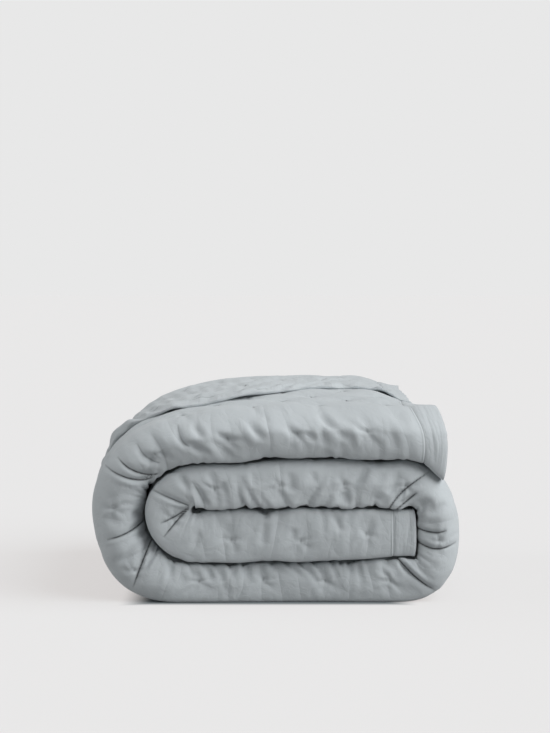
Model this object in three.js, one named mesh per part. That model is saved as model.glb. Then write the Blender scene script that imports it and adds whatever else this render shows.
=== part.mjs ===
// A padded linen quilt, folded in three across its width and then rolled up flat.
// Millimetres, +Z up. The front fold faces -Y and the roll rests on the floor at Z = 0.
// The quilt is one piece: its cloth is followed by u, along the length that is rolled,
// and by v, across the width that is folded.
import * as THREE from 'three';

// Folded strip, seen in section: depth is from the front fold to the back fold.
const FOLD_DEPTH = 630;
const HALF_STRIP = 36; // half the strip's thickness, which the roll then varies
const LOOP_DEPTH = 14; // how far back each rounded fold reaches
const LOOP_BLUNT = 0.9; // Bezier handle over radius, fuller than an ellipse
const LOOP_CORE = 38; // the middle of a fold's padding, from its tip
const LOOP_PAD = 8; // extra padding bunched in a fold
const FLAP_SETBACK = { left: 150, end: 225 }; // the flap's slanting free edge, from the front fold
const FLAP_SLOPE = 110; // length over which the flap settles on the panel below
const FLAP_LIES = 3.5; // air under its free edge
const TUCK_SETBACK = 60; // the tucked-in free edge, from the back fold
const RISE_FOOT = 380; // where the tucked panel starts to rise to the front fold
const LAYER_GAP = 3; // air between the folded panels

// The front fold is not one flat face. Each layer stands a step back, so that the one above hangs over
// it: at the inner end, the start and end of each turn, and the outer end. It draws back round the layer
// inside a turn, on its free outer side, and at the two ends of the quilt, where the outer end does so
// more at its upper edge. A run's upper and lower edge come forward, which makes its front flatter.
const STEP_BACK = [16, 16, 9, 9, 23, 22, 0, 0];
const RECESS = 4;
const SQUARE = 5;
const ENDS_TURN = { run: 90, inner: 8, outerUpper: 36, outerLower: 10 };
const DRAWN_BACK = { from: 20, to: 150 }; // depths over which all of this fades out

// Padding, flat sewn border and tacked quilting.
const PAD = 22; // full thickness of the quilt
const HEM = 4; // thickness of the flat border
const BORDER = 34; // width of the flat border
const PAD_SHOULDER = 60; // distance from border to full padding
const END_SINK = { inner: 2, outer: 6 }; // how far the end borders lie under the padded face
const TACK_STEP = 49.2; // half the pitch along the length, with tacks on every other column
const TACK_START = 28; // the first column, from the inner end
const ROW_STEP = 51; // rows across the width, counted from the front fold's tip
const TACK_DEPTH = 7;

// The roll: half turns of the strip's centre line, from the inner end outwards. Each one bends about
// (x, z) from the run before it to the point and slope where the next run starts. Its fullness is the
// Bezier handle over the radius, where 0.5523 is a true ellipse. The three values of half and soft are
// for its start, its middle and its end: half the strip's thickness, and how far the front fold's
// outer side draws back.
const TURNS = [
  {
    name: 'inner', side: -1, x: -118, z: 137.8, reach: 38, rise: 38.8, endX: -118, endZ: 176.5, endSlope: 0,
    fullIn: 0.56, fullOut: 0.56, half: [37, 36.5, 32], soft: [0, 0, 0],
  },
  {
    name: 'right', side: 1, x: 182, z: 103.5, reach: 59, rise: 72.5, endX: 182, endZ: 33.5, endSlope: 0,
    fullIn: 0.58, fullOut: 0.7, half: [30.5, 30.5, 33.5], soft: [3, 26, 2],
  },
  {
    name: 'left', side: -1, x: -140, z: 138, reach: 95, rise: 108.5, endX: -120, endZ: 243, endSlope: 0.2,
    fullIn: 0.7, fullOut: 0.57, half: [29.5, 40, 33], soft: [2, 30, 46],
  },
];
const INNER_END = { x: 204, z: 102.5, half: 33.5, soft: 2 };
const OUTER_RUN = { crestX: 100, crestZ: 254, half: 35 };
const OUTER_END = { x: 254, z: 249, half: 49, slope: 0.12, pull: 50, opens: 60, halfBefore: 35, soft: 40 };
const END_THINS = { share: 0.38, run: 110, from: 50, to: 250 }; // behind its fold the end is only its hems
const RUN_HALF = [38, 35.5, 31.4]; // half thickness in the middle of each run between the turns
const END_LAG = { fold: -32, flap: 15 }; // how far before the outer end the front fold and the flap stop
const LAG_RUN = 380; // the panels slip apart over this stretch
const WRAP_GAP = 4; // air between the layers of the roll
const LEAST_WRAP = 600; // a layer lies at least this much further along than the layer inside it

// Deep creases across the front fold, where a turn crowds the cloth on its inner side.
// at is the share of the turn, reach the share of the front fold that the crease crosses.
const CREASES = [
  { turn: 'inner', at: 0.26, reach: 0.6, depth: 7 },
  { turn: 'inner', at: 0.42, reach: 0.65, depth: 8 },
  { turn: 'inner', at: 0.65, reach: 0.95, depth: 9 },
  { turn: 'right', at: 0.15, reach: 0.95, depth: 9 },
  { turn: 'right', at: 0.32, reach: 0.6, depth: 6 },
  { turn: 'right', at: 0.47, reach: 0.65, depth: 7 },
  { turn: 'right', at: 0.56, reach: 0.95, depth: 9 },
  { turn: 'right', at: 0.84, reach: 0.95, depth: 10 },
  { turn: 'left', at: 0.17, reach: 0.95, depth: 10 },
  { turn: 'left', at: 0.37, reach: 0.75, depth: 10 },
  { turn: 'left', at: 0.66, reach: 0.75, depth: 9 },
];
const CREASE_HALF_WIDTH = 9;
const CREASE_ROOT = { from: -0.25, to: 0.1 }; // shares of the front fold over which a crease deepens

// The three-panel stack is fuller than the two-panel front fold, so the roll swells behind it.
const SWELL = { from: 40, to: 190, rise: 0.064, spread: 0.02 };
const SWELL_ENDS = { from: 150, to: 235 }; // x over which its rise fades out towards the free end
const FRONT_WANDER = [
  { size: 4, waves: 2.3, phase: 0.6 },
  { size: 2.5, waves: 5.1, phase: 2.1 },
];
const FLOOR_EASE = 20; // quilting fades out where the cloth is pressed to the floor

// How finely the skin is divided: closest spacings, steps round each bend, and how far past the
// front and back folds the tack rows are kept.
const STATION_STEP = 7;
const ROW_GAP = 8;
const STEPS = { turn: 8, frontFold: 8, backFold: 6, backLining: 4, swell: 3, rise: 2 };
const SEEN = { top: 370, inside: 190, back: 60 };
const KEPT_ROWS = 4; // of the hidden tack rows every fourth is kept

const smooth = (low, high, value) => THREE.MathUtils.smoothstep(value, low, high);

// The centre line of the roll, as a path in x and z, with the length at which each turn starts.
function makeRollLine() {
  const line = new THREE.Path();
  const marks = {};
  line.moveTo(INNER_END.x, INNER_END.z);
  for (const turn of TURNS) {
    const { side, x, z, reach, rise, endX, endZ, endSlope, fullIn, fullOut, name } = turn;
    const up = side < 0 ? 1 : -1; // the left turns climb and the right turn comes down
    const far = x + side * reach;
    const back = fullOut * (endX - far);
    line.lineTo(x, z - up * rise);
    const start = line.getLength();
    line.bezierCurveTo(x + side * fullIn * reach, z - up * rise, far, z - up * fullIn * rise, far, z);
    line.bezierCurveTo(far, z + fullOut * (endZ - z), endX - back, endZ - endSlope * back, endX, endZ);
    marks[name] = { start, length: line.getLength() - start };
  }
  const last = line.currentPoint.clone();
  const { endSlope } = TURNS.at(-1);
  const { crestX, crestZ } = OUTER_RUN;
  const third = (crestX - last.x) / 3;
  line.bezierCurveTo(last.x + third, last.y + endSlope * third, crestX - third, crestZ, crestX, crestZ);
  marks.crest = line.getLength();
  const ease = (OUTER_END.x - crestX) / 3;
  line.bezierCurveTo(
    crestX + ease, crestZ,
    OUTER_END.x - OUTER_END.pull, OUTER_END.z + OUTER_END.pull * OUTER_END.slope,
    OUTER_END.x, OUTER_END.z,
  );
  return { line, marks, length: line.getLength() };
}

// The section of the folded strip: the quilt's face as a path in y (depth) and t (thickness), from
// the tucked-in edge, round the front fold, along the inside panel, round the back fold, to the flap.
function makeFoldLine() {
  const tuckTop = -HALF_STRIP + 2 * PAD + LAYER_GAP;
  const back = FOLD_DEPTH - LOOP_DEPTH;
  const line = new THREE.Path();
  const marks = {};
  line.moveTo(FOLD_DEPTH - TUCK_SETBACK, tuckTop);
  line.lineTo(RISE_FOOT, tuckTop);
  const middle = (RISE_FOOT + LOOP_DEPTH) / 2;
  line.bezierCurveTo(middle, tuckTop, middle, HALF_STRIP, LOOP_DEPTH, HALF_STRIP);
  marks.frontStart = line.getLength();
  for (const [from, to] of [[1, 0], [0, -1]]) foldQuarter(line, from, to, LOOP_DEPTH, 0);
  marks.frontEnd = line.getLength();
  line.lineTo(back, -HALF_STRIP);
  marks.backStart = line.getLength();
  for (const [from, to] of [[-1, 0], [0, 1]]) foldQuarter(line, from, to, back, FOLD_DEPTH);
  marks.backEnd = line.getLength();
  line.lineTo((FLAP_SETBACK.left + FLAP_SETBACK.end) / 2, HALF_STRIP);
  return { line, marks, length: line.getLength() };
}

// A quarter of a rounded fold, between the strip's faces (share 1 or -1) and the fold's tip (share 0).
function foldQuarter(line, from, to, root, tip) {
  const bend = root + (tip - root) * LOOP_BLUNT;
  const start = HALF_STRIP * from;
  const end = HALF_STRIP * to;
  if (to === 0) line.bezierCurveTo(bend, start, tip, start * (1 - LOOP_BLUNT), tip, 0);
  else line.bezierCurveTo(tip, end * (1 - LOOP_BLUNT), bend, end, root, end);
}

const roll = makeRollLine();
const fold = makeFoldLine();
const LENGTH = roll.length + END_LAG.fold;
const WIDTH = fold.length;
const FOLD_TIP = (fold.marks.frontStart + fold.marks.frontEnd) / 2;

// Half the strip's thickness and the front fold's softness along the roll, eased from knot to knot:
// the turns, the runs and the two ends.
const halfKnots = makeKnots('half');
const softKnots = makeKnots('soft');

function makeKnots(key) {
  const knots = [{ at: 0, value: INNER_END[key] }];
  let runStart = 0;
  TURNS.forEach((turn, i) => {
    const { start, length } = roll.marks[turn.name];
    if (key === 'half') knots.push({ at: (runStart + start) / 2, value: RUN_HALF[i] });
    turn[key].forEach((value, j) => knots.push({ at: start + (length * j) / 2, value }));
    runStart = start + length;
  });
  if (key === 'half') {
    knots.push({ at: roll.marks.crest, value: OUTER_RUN.half });
    knots.push({ at: roll.length - OUTER_END.opens, value: OUTER_END.halfBefore });
  }
  knots.push({ at: roll.length, value: OUTER_END[key] });
  return knots;
}

function eased(knots, at) {
  const next = Math.max(1, knots.findIndex((knot) => knot.at >= at));
  const a = knots[next - 1];
  const b = knots[next];
  return THREE.MathUtils.lerp(a.value, b.value, smooth(a.at, b.at, at));
}

// The roll's outer side, and the face of its inner end, as points with their place along the roll.
const outerSide = spread(0, roll.length, 300).map((s) => ({ s, point: sidePoint(s, 1) }));
spread(-1, 1, 16).forEach((share) => outerSide.push({ s: 0, point: sidePoint(0, share) }));

function sidePoint(s, share) {
  const centre = roll.line.getPointAt(s / roll.length);
  const along = roll.line.getTangentAt(s / roll.length);
  return new THREE.Vector2(-along.y, along.x).multiplyScalar(eased(halfKnots, s) * share).add(centre);
}

// Half the strip's thickness on its inner side, which gives way to the layer inside it.
function innerHalf(s) {
  const centre = roll.line.getPointAt(s / roll.length);
  const inside = outerSide.filter((side) => side.s < s - LEAST_WRAP);
  const room = Math.min(...inside.map((side) => centre.distanceTo(side.point))) - WRAP_GAP;
  return Math.min(eased(halfKnots, s), room);
}

// Height of the tucked panel's face in the section, at a depth behind the front fold.
const panelPoints = spread(0, fold.marks.frontStart, 200).map((v) => fold.line.getPointAt(v / WIDTH));

function panelLevel(depth) {
  const next = Math.max(1, panelPoints.findIndex((p) => p.x <= depth));
  const a = panelPoints[next - 1];
  const b = panelPoints[next];
  return THREE.MathUtils.mapLinear(THREE.MathUtils.clamp(depth, b.x, a.x), a.x, b.x, a.y, b.y);
}

// A point of the face in section, with the direction from it into the padding and the padding's
// thickness.
function foldPoint(u, v) {
  const { frontStart, frontEnd, backStart, backEnd } = fold.marks;
  const p = fold.line.getPointAt(THREE.MathUtils.clamp(v / WIDTH, 0, 1));
  const into = new THREE.Vector2(0, v >= frontEnd && v <= backStart ? 1 : -1);
  const core = p.x < FOLD_DEPTH / 2 ? LOOP_CORE : FOLD_DEPTH - LOOP_CORE;
  const inFold = v < backEnd && Math.abs(p.x - FOLD_DEPTH / 2) > FOLD_DEPTH / 2 - LOOP_CORE;
  if (inFold) into.set(core - p.x, -p.y).normalize();
  const bunched = inFold ? LOOP_PAD * (1 - (p.y / HALF_STRIP) ** 2) : 0;
  const inFront = smooth(frontStart, FOLD_TIP, v) * (1 - smooth(frontEnd + 20, frontEnd + 100, v));
  const lag = END_LAG.fold * inFront + END_LAG.flap * smooth(backStart, backEnd, v);
  const place = v > backEnd ? flapPoint(u, v) : { y: p.x + drawnBack(u, v, p), t: p.y, room: Infinity };
  return { ...place, into, pad: PAD + bunched, lag };
}

// The flap runs from the back fold to its slanting free edge, where it lies on the panel below. Room
// is what is left for its padding over that panel.
function flapPoint(u, v) {
  const { backEnd } = fold.marks;
  const slant = smooth(roll.marks.left.start, LENGTH, u);
  const setback = THREE.MathUtils.lerp(FLAP_SETBACK.left, FLAP_SETBACK.end, slant);
  const y = THREE.MathUtils.mapLinear(v, backEnd, WIDTH, FOLD_DEPTH - LOOP_DEPTH, setback);
  const edgeLevel = panelLevel(setback) + FLAP_LIES + HEM;
  const t = THREE.MathUtils.lerp(edgeLevel, HALF_STRIP, smooth(0, FLAP_SLOPE, y - setback));
  return { y, t, room: t - panelLevel(y) - FLAP_LIES };
}

// How far the front fold draws back at a point p of the section. Side runs from 1 on the strip's outer
// face to -1 on its inner face.
function drawnBack(u, v, p) {
  const { frontStart, frontEnd } = fold.marks;
  const side = v < frontStart || v > frontEnd ? Math.sign(frontStart - v) : p.y / HALF_STRIP;
  const outer = Math.max(side, 0);
  const inner = Math.max(-side, 0);
  const ahead = roll.line.getTangentAt(THREE.MathUtils.clamp(u / roll.length, 0, 1));
  const within = u > roll.marks.right.start ? inner ** 3 * (1 - ahead.x ** 2) : 0;
  const { start, length } = roll.marks.left;
  const onTop = smooth(start + length - 50, start + length, u);
  const forward = SQUARE * (side * ahead.x) ** 2 * (side > 0 ? 1 - onTop : 1);
  const innerEnd = ENDS_TURN.inner * Math.max(0, 1 - u / ENDS_TURN.run) ** 2;
  const { outerUpper, outerLower } = ENDS_TURN;
  const turned = THREE.MathUtils.lerp(outerUpper, outerLower, smooth(frontStart, frontEnd, v));
  const outerEnd = turned * Math.max(0, 1 - (LENGTH - u) / ENDS_TURN.run) ** 2;
  const back = eased(softKnots, u) * outer ** 2 + RECESS * within * (1 - onTop) + stepBack(u) - forward;
  return (back + innerEnd + outerEnd) * (1 - smooth(DRAWN_BACK.from, DRAWN_BACK.to, p.x));
}

// How far the front fold stands back along the roll, in straight stretches.
function stepBack(u) {
  const turns = TURNS.map(({ name }) => roll.marks[name]);
  const places = [0, ...turns.flatMap(({ start, length }) => [start, start + length]), LENGTH];
  const next = Math.max(1, places.findIndex((at) => at >= u));
  return THREE.MathUtils.mapLinear(u, places[next - 1], places[next], STEP_BACK[next - 1], STEP_BACK[next]);
}

// Share of the full padding: 0 on the flat border, 1 inside it.
const fullness = (distance) => Math.sqrt(smooth(BORDER, BORDER + PAD_SHOULDER, distance));

// Depth of the tacks, on a grid with every second place left out. The border has none.
function tackSink(u, v) {
  const column = Math.round((u - TACK_START) / TACK_STEP);
  const row = Math.round((v - FOLD_TIP) / ROW_STEP);
  const onColumn = Math.abs(u - TACK_START - column * TACK_STEP) < 1;
  const onRow = Math.abs(v - FOLD_TIP - row * ROW_STEP) < 1;
  return onColumn && onRow && (column + row) % 2 !== 0 ? TACK_DEPTH : 0;
}

// Depth of the deep creases: a V across the front fold that starts at the roll's inner side.
function creaseSink(u, v) {
  const { frontStart, frontEnd } = fold.marks;
  const across = (frontEnd - v) / (frontEnd - frontStart);
  if (across < CREASE_ROOT.from || across > 1) return 0;
  let sink = 0;
  for (const crease of CREASES) {
    const share = 1 - smooth(crease.reach / 2, crease.reach, across);
    const root = smooth(CREASE_ROOT.from, CREASE_ROOT.to, across);
    const near = Math.max(0, 1 - Math.abs(u - creaseAt(crease)) / CREASE_HALF_WIDTH);
    sink = Math.max(sink, crease.depth * share * root * near);
  }
  return sink;
}

function creaseAt(crease) {
  const { start, length } = roll.marks[crease.turn];
  return start + length * crease.at;
}

// A point of the quilt: its face (inner = 0) or the lining side of its padding (inner = 1).
function quiltPoint(u, v, inner) {
  const { y, t, into, pad, lag, room } = foldPoint(u, v);
  const bodyEnds = fullness(Math.min(u, LENGTH - u));
  const body = bodyEnds * fullness(Math.min(v, WIDTH - v));
  const border = (u < LENGTH / 2 ? END_SINK.inner : END_SINK.outer) * (1 - bodyEnds);
  const thickness = Math.min(HEM + (pad - HEM) * body, room);
  const flat = rollPoint(u, lag, y + into.x * border, t + into.y * border);
  const relief = (tackSink(u, v) + creaseSink(u, v)) * body * smooth(0, FLOOR_EASE, flat.z);
  const sink = border + (inner ? thickness : relief);
  const place = rollPoint(u, lag, y + into.x * sink, t + into.y * sink);
  place.z = Math.max(place.z, 0);
  return { place, relief: inner ? 0 : relief };
}

// Rolls a point of the strip's section up: u along the roll, lag of its panel at the outer end, y depth
// and t thickness.
function rollPoint(u, lag, y, t) {
  const s = THREE.MathUtils.clamp(u - lag * smooth(LENGTH - LAG_RUN, LENGTH, u), 0, roll.length);
  const centre = roll.line.getPointAt(s / roll.length);
  const along = roll.line.getTangentAt(s / roll.length);
  const atEnd = smooth(LENGTH - END_THINS.run, LENGTH, s);
  const thin = END_THINS.share * smooth(END_THINS.from, END_THINS.to, y) * atEnd;
  const out = (t / HALF_STRIP) * (t > 0 ? eased(halfKnots, s) * (1 - thin) : innerHalf(s));
  const swell = smooth(SWELL.from, SWELL.to, y);
  const rise = SWELL.rise * (1 - smooth(SWELL_ENDS.from, SWELL_ENDS.to, centre.x));
  const wander = FRONT_WANDER.reduce(
    (sum, wave) => sum + wave.size * Math.sin(wave.waves * Math.PI * 2 * (u / LENGTH) + wave.phase), 0,
  );
  return new THREE.Vector3(
    (centre.x - along.y * out) * (1 + SWELL.spread * swell),
    y + wander - FOLD_DEPTH / 2,
    (centre.y + along.x * out) * (1 + rise * swell),
  );
}

// Evenly spaced values from one end to the other.
function spread(from, to, count) {
  return Array.from({ length: count + 1 }, (_, i) => from + ((to - from) * i) / count);
}

// Sorted positions, where one that lies closer than gap to another of lower rank is left out.
function thinOut(places, gap) {
  const kept = [];
  for (const place of [...places].sort((a, b) => a.rank - b.rank)) {
    if (kept.every((other) => Math.abs(other - place.at) >= gap)) kept.push(place.at);
  }
  return kept.sort((a, b) => a - b);
}

// Where the sections stand along the roll: ends and borders, creases, tack columns, then the turns.
function stations() {
  const places = [];
  const add = (rank, list) => list.forEach((at) => places.push({ rank, at }));
  const shoulder = BORDER + PAD_SHOULDER / 2;
  add(0, [0, BORDER, shoulder, LENGTH - shoulder, LENGTH - BORDER, LENGTH]);
  for (const crease of CREASES) {
    const at = creaseAt(crease);
    add(1, [at - CREASE_HALF_WIDTH, at, at + CREASE_HALF_WIDTH]);
  }
  const columns = Math.floor((LENGTH - TACK_START) / TACK_STEP);
  add(2, spread(TACK_START, TACK_START + columns * TACK_STEP, columns));
  for (const { start, length } of Object.values(roll.marks).filter((mark) => mark.length)) {
    add(3, spread(start, start + length, STEPS.turn));
  }
  return thinOut(places, STATION_STEP);
}

// Where the section is sampled across the width: the tack rows that can be seen, and fewer points
// on the hidden panel and on the lining side.
function faceRows() {
  const { frontStart, frontEnd, backStart, backEnd } = fold.marks;
  const inFront = (v) => v > frontStart - SEEN.top && v < frontEnd + SEEN.inside;
  const every = (v) => (inFront(v) || v > backStart - SEEN.back ? 1 : KEPT_ROWS);
  const before = Math.floor(FOLD_TIP / ROW_STEP);
  const after = Math.floor((WIDTH - FOLD_TIP) / ROW_STEP);
  const tackRows = spread(FOLD_TIP - before * ROW_STEP, FOLD_TIP + after * ROW_STEP, before + after);
  const rows = tackRows.map((at, i) => ({ rank: 1, at, i }));
  const places = rows.filter((row) => row.i % every(row.at) === 0);
  const edges = [0, BORDER, BORDER + PAD_SHOULDER / 2];
  for (const at of edges) places.push({ rank: 0, at }, { rank: 0, at: WIDTH - at });
  for (const at of spread(frontStart, frontEnd, STEPS.frontFold)) places.push({ rank: 2, at });
  for (const at of spread(backStart, backEnd, STEPS.backFold)) places.push({ rank: 2, at });
  return thinOut(places, ROW_GAP);
}

function liningRows() {
  const { frontStart, frontEnd, backStart, backEnd } = fold.marks;
  const swellRun = SWELL.to - LOOP_DEPTH;
  const places = [0, BORDER, BORDER + PAD_SHOULDER / 2].flatMap((at) => [at, WIDTH - at]);
  places.push(...spread(frontStart - SEEN.top, frontStart - swellRun, STEPS.rise));
  places.push(...spread(frontStart - swellRun, frontStart, STEPS.swell));
  places.push(...spread(frontStart, frontEnd, STEPS.frontFold));
  places.push(...spread(frontEnd, frontEnd + swellRun, STEPS.swell));
  places.push((frontEnd + backStart) / 2, backStart - SEEN.back, (backEnd + WIDTH) / 2);
  places.push(...spread(backStart, backEnd, STEPS.backLining));
  return thinOut(places.map((at) => ({ rank: 0, at })), ROW_GAP).reverse();
}

// Triangles that close the strip between two rows of points, each row in order of v.
function closeStrip(face, lining) {
  const triangles = [];
  let i = 0;
  let j = 0;
  while (i + 1 < face.length || j + 1 < lining.length) {
    const nextFace = i + 1 < face.length ? face[i + 1].v : Infinity;
    const nextLining = j + 1 < lining.length ? lining[j + 1].v : Infinity;
    if (nextFace <= nextLining) {
      triangles.push([face[i].id, face[i + 1].id, lining[j].id]);
      i += 1;
    } else {
      triangles.push([face[i].id, lining[j + 1].id, lining[j].id]);
      j += 1;
    }
  }
  return triangles;
}

// The closed skin: a ring of points at every station, and a cap across the padding at each end.
// Each four-sided cell is split along its higher diagonal, so that tacks and creases stay clean dents.
function makeQuilt() {
  const along = stations();
  const face = faceRows().map((v, id) => ({ v, id, inner: 0 }));
  const lining = liningRows().map((v, i) => ({ v, id: face.length + i, inner: 1 }));
  const ring = [...face, ...lining];
  const points = along.flatMap((u) => ring.map(({ v, inner }) => quiltPoint(u, v, inner)));
  const count = ring.length;
  const index = [];
  for (let i = 0; i + 1 < along.length; i += 1) {
    for (let j = 0; j < count; j += 1) {
      const a = i * count + j;
      const b = i * count + ((j + 1) % count);
      const c = a + count;
      const d = b + count;
      const sunk = (m, n) => points[m].relief + points[n].relief;
      if (sunk(a, d) < sunk(b, c)) index.push(a, b, d, a, d, c);
      else index.push(a, b, c, b, d, c);
    }
  }
  const last = (along.length - 1) * count;
  for (const [a, b, c] of closeStrip(face, [...lining].reverse())) {
    index.push(c, b, a, last + a, last + b, last + c);
  }
  const geometry = new THREE.BufferGeometry();
  geometry.setFromPoints(points.map((point) => point.place)).setIndex(index);
  geometry.computeBoundingBox();
  const middle = geometry.boundingBox.getCenter(new THREE.Vector3());
  geometry.translate(-middle.x, -middle.y, 0); // the origin is under the middle of the roll
  geometry.computeVertexNormals();
  return geometry;
}

const linen = new THREE.MeshStandardMaterial({ color: 0xa9b0b3, roughness: 0.92, metalness: 0 });
linen.name = 'washed linen';
const quilt = new THREE.Mesh(makeQuilt(), linen);
quilt.name = 'quilt';

const part = new THREE.Group();
part.name = 'rolled_quilt';
part.add(quilt);

export default part;
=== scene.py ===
import math

import bpy
import numpy as np
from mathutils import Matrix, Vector


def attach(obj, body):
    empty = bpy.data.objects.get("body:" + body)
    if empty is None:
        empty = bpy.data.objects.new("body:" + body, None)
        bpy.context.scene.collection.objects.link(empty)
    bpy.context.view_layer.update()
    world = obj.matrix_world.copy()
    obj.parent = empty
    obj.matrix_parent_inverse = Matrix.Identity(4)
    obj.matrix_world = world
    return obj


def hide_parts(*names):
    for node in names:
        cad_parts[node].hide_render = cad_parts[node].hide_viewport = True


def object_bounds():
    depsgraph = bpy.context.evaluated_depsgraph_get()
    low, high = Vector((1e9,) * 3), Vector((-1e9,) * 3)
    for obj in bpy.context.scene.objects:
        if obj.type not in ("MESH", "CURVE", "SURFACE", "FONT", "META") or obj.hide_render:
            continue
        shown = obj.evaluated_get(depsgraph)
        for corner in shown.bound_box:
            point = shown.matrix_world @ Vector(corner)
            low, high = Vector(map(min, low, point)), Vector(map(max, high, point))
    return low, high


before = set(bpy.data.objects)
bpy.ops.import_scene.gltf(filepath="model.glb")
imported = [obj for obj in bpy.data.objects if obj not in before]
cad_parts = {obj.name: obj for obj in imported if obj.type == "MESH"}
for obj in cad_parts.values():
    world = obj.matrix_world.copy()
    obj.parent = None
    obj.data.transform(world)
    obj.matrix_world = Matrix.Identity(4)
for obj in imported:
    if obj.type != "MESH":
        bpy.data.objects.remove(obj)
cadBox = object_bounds()  # the CAD model's box, before anything is added
print("frame loaded, box", [[round(c, 3) for c in corner] for corner in cadBox])

tiny = 1e-12  # keeps a division from zero
mmPerMetre = 1000
farAway = 0.1  # metres, a distance that stands for nothing near


def smooth(low, high, value):
    # 0 below low, 1 above high, an S curve between them
    k = np.clip((value - low) / (high - low), 0, 1)
    return k * k * (3 - 2 * k)


def bell(value, width):
    # a Gaussian bump of height 1
    return np.exp(-(value / width) ** 2)


def unit(vectors):
    # the same directions, each one unit long
    return vectors / np.maximum(np.linalg.norm(vectors, axis=-1, keepdims=True), tiny)


def linear(code):
    # an sRGB hex colour as linear red, green, blue and alpha
    parts = [int(code[i:i + 2], 16) / 255 for i in (1, 3, 5)]
    return [p / 12.92 if p <= 0.04045 else ((p + 0.055) / 1.055) ** 2.4 for p in parts] + [1.0]


# The folded strip in section and the quilt's own make, in metres
fold = {
    "depth": 0.630,  # front fold to back fold
    "half": 0.036,  # half the strip's thickness
    "loopDepth": 0.012,  # how far back a rounded fold reaches
    "loopBlunt": 0.90,  # how square it is, from 0 to 1
    # how far the corners of the inner end are rounded off, how tightly, and over what length and depth
    "corner": 0.006, "cornerPower": 6, "cornerRun": 0.050, "cornerDepth": 0.100,
    "recess": (0.004, 0.027),  # how far a fold draws back inside the right and the left turn
    # how far the front fold stands back, so that each layer hangs over the one below: at the inner end, at
    # the start and the end of each turn, and at the free end
    "stagger": (0.024, 0.022, 0.018, 0.019, 0.036, 0.036, 0.000, 0.000),
    "leftTurn": 0.012,  # how much farther the middle of the left turn stands back
    "square": 0.003,  # how far a run's upper and lower edge come forward, for a flatter front
    "under": 0.004,  # how far the lower edge of the run on top draws back
    "backFades": (0.020, 0.150),  # the depth over which all this fades out
    # air between the front folds, as least and most share of the thickness, the length and phase of its
    # waves, and their sum at its least and most
    "slit": (0.018, 0.066), "slitWaves": ((0.170, 0), (0.071, 1)), "slitSwing": (-1.6, 1.6),
    "slitFades": (0.030, 0.080),  # the depth over which it ends
    "slitCloses": (0.7, 0.090, 0.060),  # share lost at the inner end and after the right turn, and lengths
    "core": 0.038,  # the middle of a fold's padding, from its tip
    "loopPad": 0.008,  # how much thicker the padding is in a fold
    # the flap's free edge from the front fold: at the right turn, after the left turn and at the free end
    "flapSetback": (0.345, 0.112, 0.230),
    "flapSlope": 0.110,  # the depth over which the flap comes down to its edge
    "flapLies": -0.0006,  # air under that edge
    # where the edge lifts: x along the top, half the length and the height
    "flapLifts": ((-0.144, 0.016, 0.0040), (-0.045, 0.030, 0.0035),
                  (0.182, 0.020, 0.0100), (0.232, 0.022, 0.0040)),
    "flapTab": (-0.207, 0.010, 0.0030),  # where its left corner is crumpled into a thick tab
    "liftOver": (0.4, 1.0), "tabOver": (0.5, 0.8),  # share of the slope over which they rise
    "tuckSetback": 0.060,  # the tucked panel's edge, from the back fold
    "riseFoot": 0.500,  # where that panel begins to rise to the front fold
    "layerGap": 0.003,
    "pad": 0.022,  # the padding's thickness, and that of the flat border
    "hem": 0.0035,
    "border": 0.034,
    "shoulder": 0.048,  # from the border to full padding
    "endSink": 0.006,  # how far the border lies below the padding at the free end and the inner end
    "innerSink": 0.002,
}

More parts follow.
